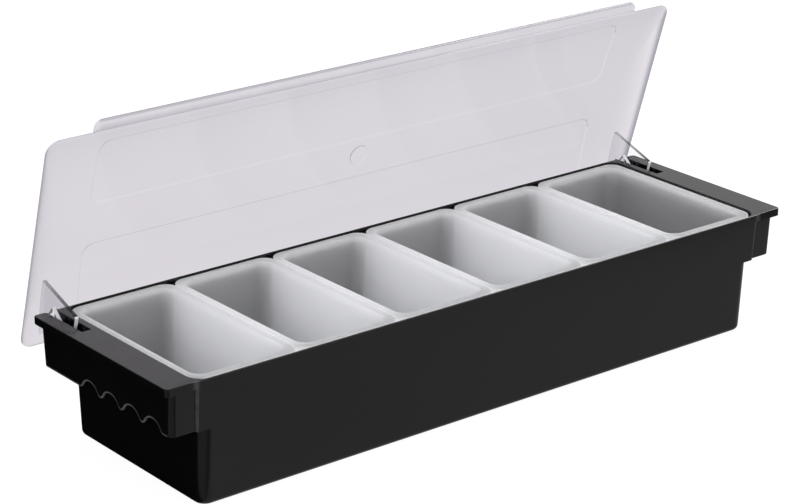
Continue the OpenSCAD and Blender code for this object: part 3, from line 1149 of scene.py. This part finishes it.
def arm_mesh(side):
    """A hinge arm: a flat slab, its hub and the pegs that turn in the base."""
    outline = [(LID_BACK - v, LID_Z + d) for v, d in arm_outline()]
    bevel = 0.15
    middle = side * ARM_X
    rings = []
    for x, inset in ((-ARM_HALF, bevel), (bevel - ARM_HALF, 0), (ARM_HALF - bevel, 0),
                     (ARM_HALF, bevel)):
        flat = offset_points(outline, [inset] * len(outline))
        rings.append([Vector((middle + x, y, z)) for y, z in flat])
    slab = tube_mesh("slab", rings)
    hub = disc("hub", middle, HUB_HALF, HUB_RADIUS)
    pegs = disc("pegs", middle, HUB_HALF + PEG_LENGTH, PEG_RADIUS)
    mesh = joined([slab, hub, pegs], "arm")
    mesh.update()
    mark_arm_edges(mesh)
    return opened(mesh)


# ---- build ------------------------------------------------------------------

build_base(black_plastic())
white = white_plastic()
for index in range(1, PAN_COUNT + 1):
    add_piece(f"pan_shell_{index}", pan_mesh(index), white, f"pan_{index}")
lid_clear = clear_plastic("clear_plastic", LID_TINT, False)
add_piece("lid_shell", lid_mesh(), lid_clear, "lid_panel", 40)
arm_clear = clear_plastic("clear_arm_plastic", ARM_TINT, True)
add_piece("arm_shell_right", arm_mesh(1), arm_clear, "hinge_arm_right")
add_piece("arm_shell_left", arm_mesh(-1), arm_clear, "hinge_arm_left")

# ---- stage ------------------------------------------------------------------

# Places and sizes on the stage are in metres
FLOOR_HALF = 6
FLOOR_DROP = 0.0002
FLOOR_ALBEDO = (0.62, 0.62, 0.62)
SEEN_ALBEDO = (0.14, 0.14, 0.14)
FLOOR_GLOW = 0.94
WORLD_FRONT = 1.2
WORLD_BACK = 0.45
KEY_PLACE = (3.3, 1.0, 2.6)
KEY_TARGET = (0, 0, 0.05)
KEY_SIZE = 2.3
KEY_POWER = 116

# What the object's gloss mirrors: the world's brightness from its left (0) to its right (1),
# and the floor's by the turn round CORNER, the foot of the tub's front left corner
MIRRORED_WORLD = ((0.0, 0.5), (0.6, 0.7), (0.745, 1.1), (0.83, 0.78), (0.9, 0.6))
MIRRORED_FLOOR = ((180, 0.28), (230, 0.28), (250, 0.15), (273, 0.15), (290, 0.43),
                  (432, 0.43), (446, 0.0), (518, 0.0), (523, 0.28))
CORNER = (-0.2245, -0.071)

CAMERA_PLACE = (-0.9938, -1.2191, 0.6775)
CAMERA_AZIMUTH = -38.57
CAMERA_ELEVATION = 20.54
CAMERA_ROLL = 0.106
CAMERA_LENS = 117.43


def greys(stops):
    """Turns (position, brightness) stops into stops of a colour ramp."""
    return [(position, (value, value, value)) for position, value in stops]


def mirrored_floor(tree):
    """How bright the floor looks in the object's gloss: as if black flags stood to its left
    and in front of its right-hand end."""
    position = tree.nodes.new("ShaderNodeNewGeometry")
    axes = tree.nodes.new("ShaderNodeSeparateXYZ")
    tree.links.new(position.outputs["Position"], axes.inputs["Vector"])
    x = maths(tree, "SUBTRACT", axes.outputs["X"], CORNER[0])
    y = maths(tree, "SUBTRACT", axes.outputs["Y"], CORNER[1])
    turn = ramp(tree, maths(tree, "ARCTAN2", y, x), 0, 1, -math.pi, math.pi)
    stops = [((angle - 180) / 360, value) for angle, value in MIRRORED_FLOOR]
    around = colours(tree, turn, greys(stops))
    right = ramp(tree, axes.outputs["X"], 0, 1, 0.1, 0.3)
    ahead = ramp(tree, axes.outputs["Y"], 1, 0, -0.22, -0.19)
    flag = ramp(tree, maths(tree, "MULTIPLY", right, ahead), 1.0, 0.25, 0, 1)
    return maths(tree, "MULTIPLY", around, flag)


def stage_material():
    """White floor: it looks white, keeps a faint shadow, and lights the object less."""
    material, tree, surface = new_material("stage_white")
    lit = tree.nodes.new("ShaderNodeBsdfDiffuse")
    lit.inputs["Color"].default_value = (*FLOOR_ALBEDO, 1)
    shaded = tree.nodes.new("ShaderNodeBsdfDiffuse")
    shaded.inputs["Color"].default_value = (*SEEN_ALBEDO, 1)
    glow = tree.nodes.new("ShaderNodeEmission")
    glow.inputs["Strength"].default_value = FLOOR_GLOW
    seen = tree.nodes.new("ShaderNodeAddShader")
    tree.links.new(shaded.outputs["BSDF"], seen.inputs[0])
    tree.links.new(glow.outputs["Emission"], seen.inputs[1])
    mirrored = tree.nodes.new("ShaderNodeEmission")
    tree.links.new(mirrored_floor(tree), mirrored.inputs["Strength"])
    dull = mixed(tree, rays(tree, "Is Glossy Ray"), lit.outputs["BSDF"],
                 mirrored.outputs["Emission"])
    tree.links.new(mixed(tree, rays(tree, "Is Camera Ray", "Is Transmission Ray"), dull,
                         seen.outputs["Shader"]), surface)
    return material


def make_floor():
    half = FLOOR_HALF
    corners = [(-half, -half, 0), (half, -half, 0), (half, half, 0), (-half, half, 0)]
    mesh = bpy.data.meshes.new("floor")
    mesh.from_pydata(corners, [], [(0, 1, 2, 3)])
    mesh.materials.append(stage_material())
    floor = make_object("floor", mesh)
    floor.location.z = -FLOOR_DROP


def make_world():
    """A pale studio, brighter in front, that the camera sees as plain white. The object's
    gloss mirrors a bright panel at its back right."""
    world = bpy.data.worlds.new("studio")
    scene.world = world
    world.use_nodes = True
    tree = world.node_tree
    background = tree.nodes["Background"]
    background.inputs["Color"].default_value = (1, 1, 1, 1)
    where = tree.nodes.new("ShaderNodeTexCoord")
    axes = tree.nodes.new("ShaderNodeSeparateXYZ")
    tree.links.new(where.outputs["Generated"], axes.inputs["Vector"])
    across = ramp(tree, axes.outputs["X"], 0, 1, -1, 1)
    mirrored = colours(tree, across, greys(MIRRORED_WORLD))
    light = ramp(tree, axes.outputs["Y"], WORLD_FRONT, WORLD_BACK, -0.9, 0.9)
    unseen = switched(tree, rays(tree, "Is Glossy Ray"), light, mirrored)
    seen = rays(tree, "Is Camera Ray", "Is Transmission Ray")
    tree.links.new(switched(tree, seen, unseen, 1.0), background.inputs["Strength"])


def make_key():
    """The one lamp, large and soft, high on the right."""
    data = bpy.data.lights.new("key", "AREA")
    data.shape = "SQUARE"
    data.size = KEY_SIZE
    data.energy = KEY_POWER
    lamp = make_object("key", data)
    lamp.location = KEY_PLACE
    direction = Vector(KEY_TARGET) - Vector(KEY_PLACE)
    lamp.rotation_euler = direction.to_track_quat("-Z", "Y").to_euler()


def make_camera():
    """The camera that took the photograph, as its straight edges tell."""
    data = bpy.data.cameras.new("camera")
    data.sensor_width = 36
    data.lens = CAMERA_LENS
    camera = make_object("camera", data)
    turn = Matrix.Rotation(math.radians(CAMERA_AZIMUTH), 4, "Z")
    tilt = Matrix.Rotation(math.radians(90 - CAMERA_ELEVATION), 4, "X")
    lean = Matrix.Rotation(math.radians(CAMERA_ROLL), 4, "Z")
    camera.matrix_world = Matrix.Translation(CAMERA_PLACE) @ turn @ tilt @ lean
    scene.camera = camera


make_floor()
make_world()
make_key()
make_camera()
scene.view_settings.view_transform = "Standard"
